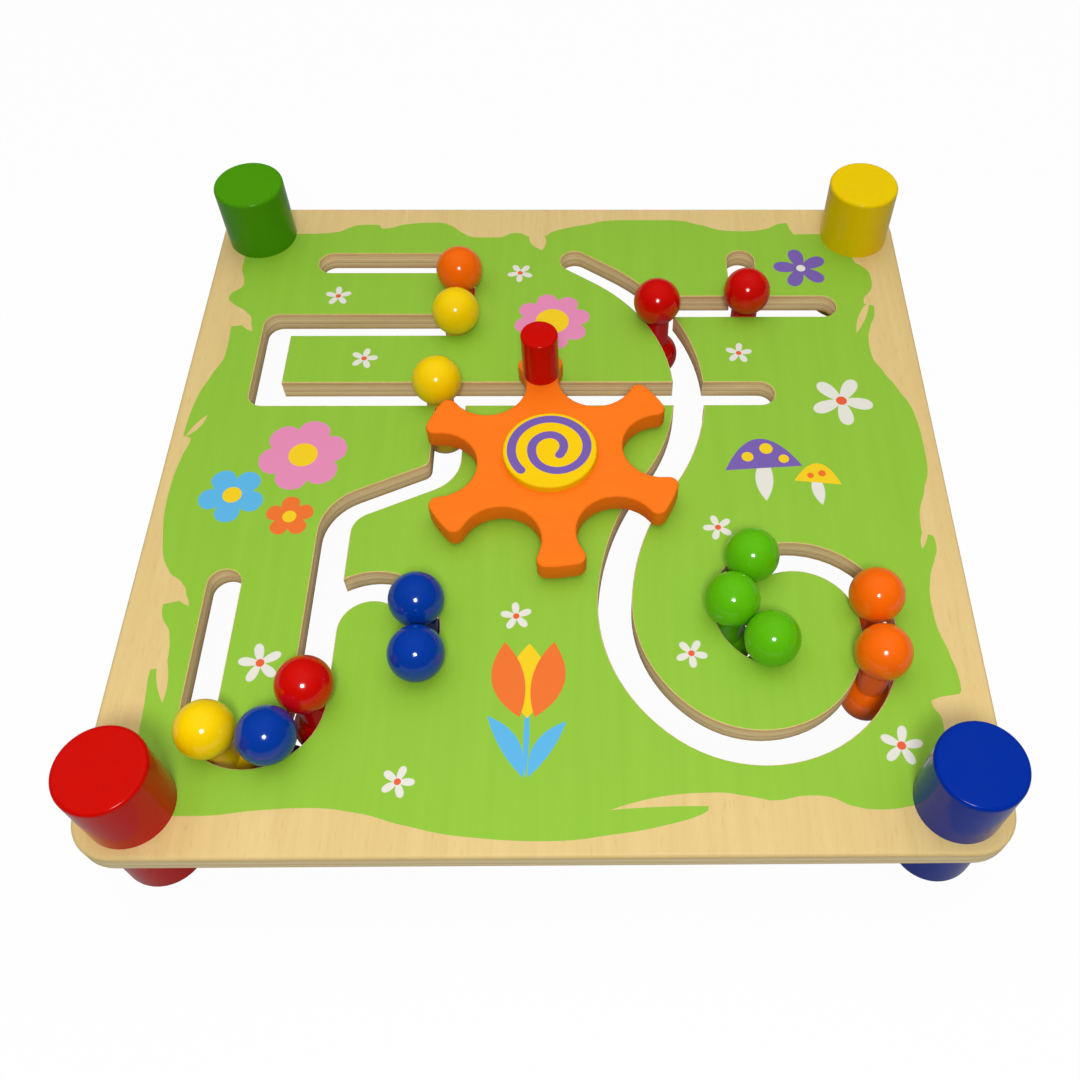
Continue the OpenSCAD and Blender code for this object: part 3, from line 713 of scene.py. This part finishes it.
# %% Star wheel
WHEEL_SHADES = (screen(255, 129, 26), screen(255, 115, 16))
wheel_coat = lacquered("wheel rubbed lacquer", WHEEL_SHADES, RUBBED, ALONG_X)[0]
sanded_wheel = new_piece(merged_copy("star_wheel"), "sanded_wheel", "wheel", "star_wheel",
                         wheel_coat)
print("wheel:", len(sanded_wheel.data.polygons), "faces")

# %% [markdown]
# ## The spiral on the cap
# The cap over the axle carries a plain purple spiral. A spiral is a radius that grows with the angle, so
# the nodes compare each point's distance from the axle with the radius that the band has there, once for
# each turn. This one winds nearly as a circle, swings out in half a turn, and follows the rim to its end.
# Two round spots finish the band's ends.

# %% Spiral cap
CAP_SHADES = (screen(252, 213, 3), screen(246, 198, 0))
TURNS, BAND, START = 1.72, 3.4, math.radians(-36)
HEART = 4.6
# First turn, last turn and rise of each stretch where the spiral moves outwards
SWINGS = [(0.0, 0.35, 2.2), (0.6, 1.2, 7.6)]
SPIRAL_DEPTH = 0.1


def eased(tree, wound, begin, end, rise):
    values = {"Value": wound, "From Min": begin, "From Max": end, "To Max": rise}
    return put(tree, "ShaderNodeMapRange", values, interpolation_type="SMOOTHSTEP").outputs[0]


def wound_radius(wound):
    radius = HEART
    for begin, end, rise in SWINGS:
        t = min(max((wound - begin) / (end - begin), 0), 1)
        radius += rise * t * t * (3 - 2 * t)
    return radius


cap_low, cap_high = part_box("spiral_cap")
axle = (cap_low + cap_high) / 2 * MM
cap_coat, tree, surface, coat = lacquered("spiral on yellow lacquer", CAP_SHADES, RUBBED, ALONG_X)
east, north, high = parts(tree, vectors(tree, "SUBTRACT", place_mm(tree), axle))
flat = level_part(tree, east, north)
reach = length(tree, flat)
turned = sums(tree, "SUBTRACT", sums(tree, "ARCTAN2", north, east), START)
first = sums(tree, "FRACT", sums(tree, "MULTIPLY", turned, 1 / math.tau))
band = 0.0
for turn in range(math.ceil(TURNS)):
    wound = sums(tree, "ADD", first, float(turn))
    radius = HEART
    for swing in SWINGS:
        radius = sums(tree, "ADD", eased(tree, wound, *swing), radius)
    beside = sums(tree, "ABSOLUTE", sums(tree, "SUBTRACT", reach, radius))
    mask = inside(tree, sums(tree, "SUBTRACT", BAND / 2, beside))
    kept = sums(tree, "MULTIPLY", mask, sums(tree, "LESS_THAN", wound, TURNS))
    band = sums(tree, "MAXIMUM", kept, band)
for wound in (0.0, TURNS):
    radius, turn = wound_radius(wound), START + math.tau * wound
    end = spot_mask(tree, flat, radius * math.cos(turn), radius * math.sin(turn), BAND / 2)
    band = sums(tree, "MAXIMUM", band, end)
on_top = sums(tree, "GREATER_THAN", high, cap_high.z * MM - axle.z - SPIRAL_DEPTH)
painted = mix(tree, sums(tree, "MULTIPLY", band, on_top), coat["Colour"], PURPLE_INK)
tree.links.new(painted, surface["Base Color"])
wear(nodes["spiral_cap"].data, cap_coat)
print("spiral:", TURNS, "turns out to", round(wound_radius(TURNS), 1), "mm")

# %% [markdown]
# ## Steel fittings
# The bolt, its washers and nut, and the screws are zinc-plated steel. Fine scratches in noise vary how
# sharply the metal reflects, which is what tells steel from grey paint.

# %% Steel
BRIGHT_ZINC, DULL_ZINC = screen(206, 208, 212), screen(176, 178, 184)
SCRATCH_STRETCH, SCRATCH_DETAIL = (0.4, 4.0, 0.8), 3.0
ZINC_MATT, SCRATCH_MATT = 0.2, 0.25
steel, tree, surface = new_material("zinc plated steel")
scratch = noise(tree, vectors(tree, "MULTIPLY", place_mm(tree), SCRATCH_STRETCH), 1.0, SCRATCH_DETAIL)
tree.links.new(mix(tree, scratch, BRIGHT_ZINC, DULL_ZINC), surface["Base Color"])
tree.links.new(sums(tree, "MULTIPLY_ADD", scratch, SCRATCH_MATT, ZINC_MATT), surface["Roughness"])
surface["Metallic"].default_value = 1.0
fittings = [row["node"] for row in subparts if row["material_slot"] == "steel"]
for node in fittings:
    wear(nodes[node].data, steel)
print("steel pieces:", len(fittings))

# %% [markdown]
# ## Fittings underneath
# Turn the toy over and a hexagon nut holds the axle. A nut could be made from a six-sided cone, but its solid
# already has the right size and bore. So a copy of it only has its outer edges taken off, as on a bought nut.

# %% Nut
NUT_CHAMFER, CHAMFER_STEPS, BOLT_CLEAR = 0.0006, 2, 0.0035
shape = merged_copy("axle_nut")
middle = axle.xy / MM
outer = [edge for edge in rims(shape)
         if all((vert.co.xy - middle).length > BOLT_CLEAR for vert in edge.verts)]
round_edges(shape, outer, NUT_CHAMFER, CHAMFER_STEPS)
new_piece(shape, "chamfered_nut", "board_frame", "axle_nut", steel)
print("nut:", len(outer), "edges taken off")

# %% [markdown]
# A cross-head screw sits deep in each foot and holds the post through the board. A plain disc could stand for
# its head, since it is hardly seen, but the cross tells what it is. A cone operator gives the head, a bevel
# rounds its rim, and eight cuts across its end mark out a cross that is then pushed in.

# %% Screws
HEAD_RADIUS, HEAD_HEIGHT, HEAD_SIDES = 0.004, 0.003, 40
HEAD_ROUND, HEAD_STEPS = 0.0008, 3
SHANK_RADIUS, SHANK_SIDES = 0.002, 24
CROSS_LONG, CROSS_WIDE, CROSS_DEEP, CROSS_TAPER = 0.0021, 0.0005, 0.0014, 0.00012
screw_low, screw_high = (corner.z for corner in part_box("corner_screws"))
head_top = screw_low + HEAD_HEIGHT


def end_faces(shape):
    shape.normal_update()
    return [face for face in shape.faces if face.normal.z < -LEVEL]


def rod(shape, radius, low, high, segments):
    bmesh.ops.create_cone(shape, cap_ends=True, segments=segments, radius1=radius, radius2=radius,
                          depth=high - low, matrix=Matrix.Translation((0, 0, (low + high) / 2)))


def only_verts(parts_of_mesh):
    return [part for part in parts_of_mesh if isinstance(part, bmesh.types.BMVert)]


shape = bmesh.new()
rod(shape, HEAD_RADIUS, screw_low, head_top, HEAD_SIDES)
round_edges(shape, list(end_faces(shape)[0].edges), HEAD_ROUND, HEAD_STEPS)
for across in (Vector((1, 0, 0)), Vector((0, 1, 0))):
    for at in (-CROSS_LONG, -CROSS_WIDE, CROSS_WIDE, CROSS_LONG):
        ends = end_faces(shape)
        touched = {part for face in ends for part in [*face.verts, *face.edges]}
        bmesh.ops.bisect_plane(shape, geom=[*ends, *touched], plane_co=across * at, plane_no=across)
cross = []
for face in end_faces(shape):
    near, far = sorted(abs(value) for value in face.calc_center_median().xy)
    if near < CROSS_WIDE and far < CROSS_LONG:
        cross.append(face)
bmesh.ops.inset_region(shape, faces=cross, thickness=CROSS_TAPER, depth=-CROSS_DEEP, use_even_offset=True)
rod(shape, SHANK_RADIUS, head_top, screw_high, SHANK_SIDES)
one_screw = [*shape.verts, *shape.edges, *shape.faces]
feet = [row["node"] for row in subparts if row["node"].startswith("foot_")]
for foot in feet:
    low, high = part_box(foot)
    copy = bmesh.ops.duplicate(shape, geom=one_screw)["geom"]
    middle = (low + high) / 2
    bmesh.ops.translate(shape, verts=only_verts(copy), vec=(middle.x, middle.y, 0))
bmesh.ops.delete(shape, geom=only_verts(one_screw), context="VERTS")
new_piece(shape, "cross_screws", "board_frame", "corner_screws", steel)
print("screws:", len(feet), "with", len(cross), "faces in each cross")
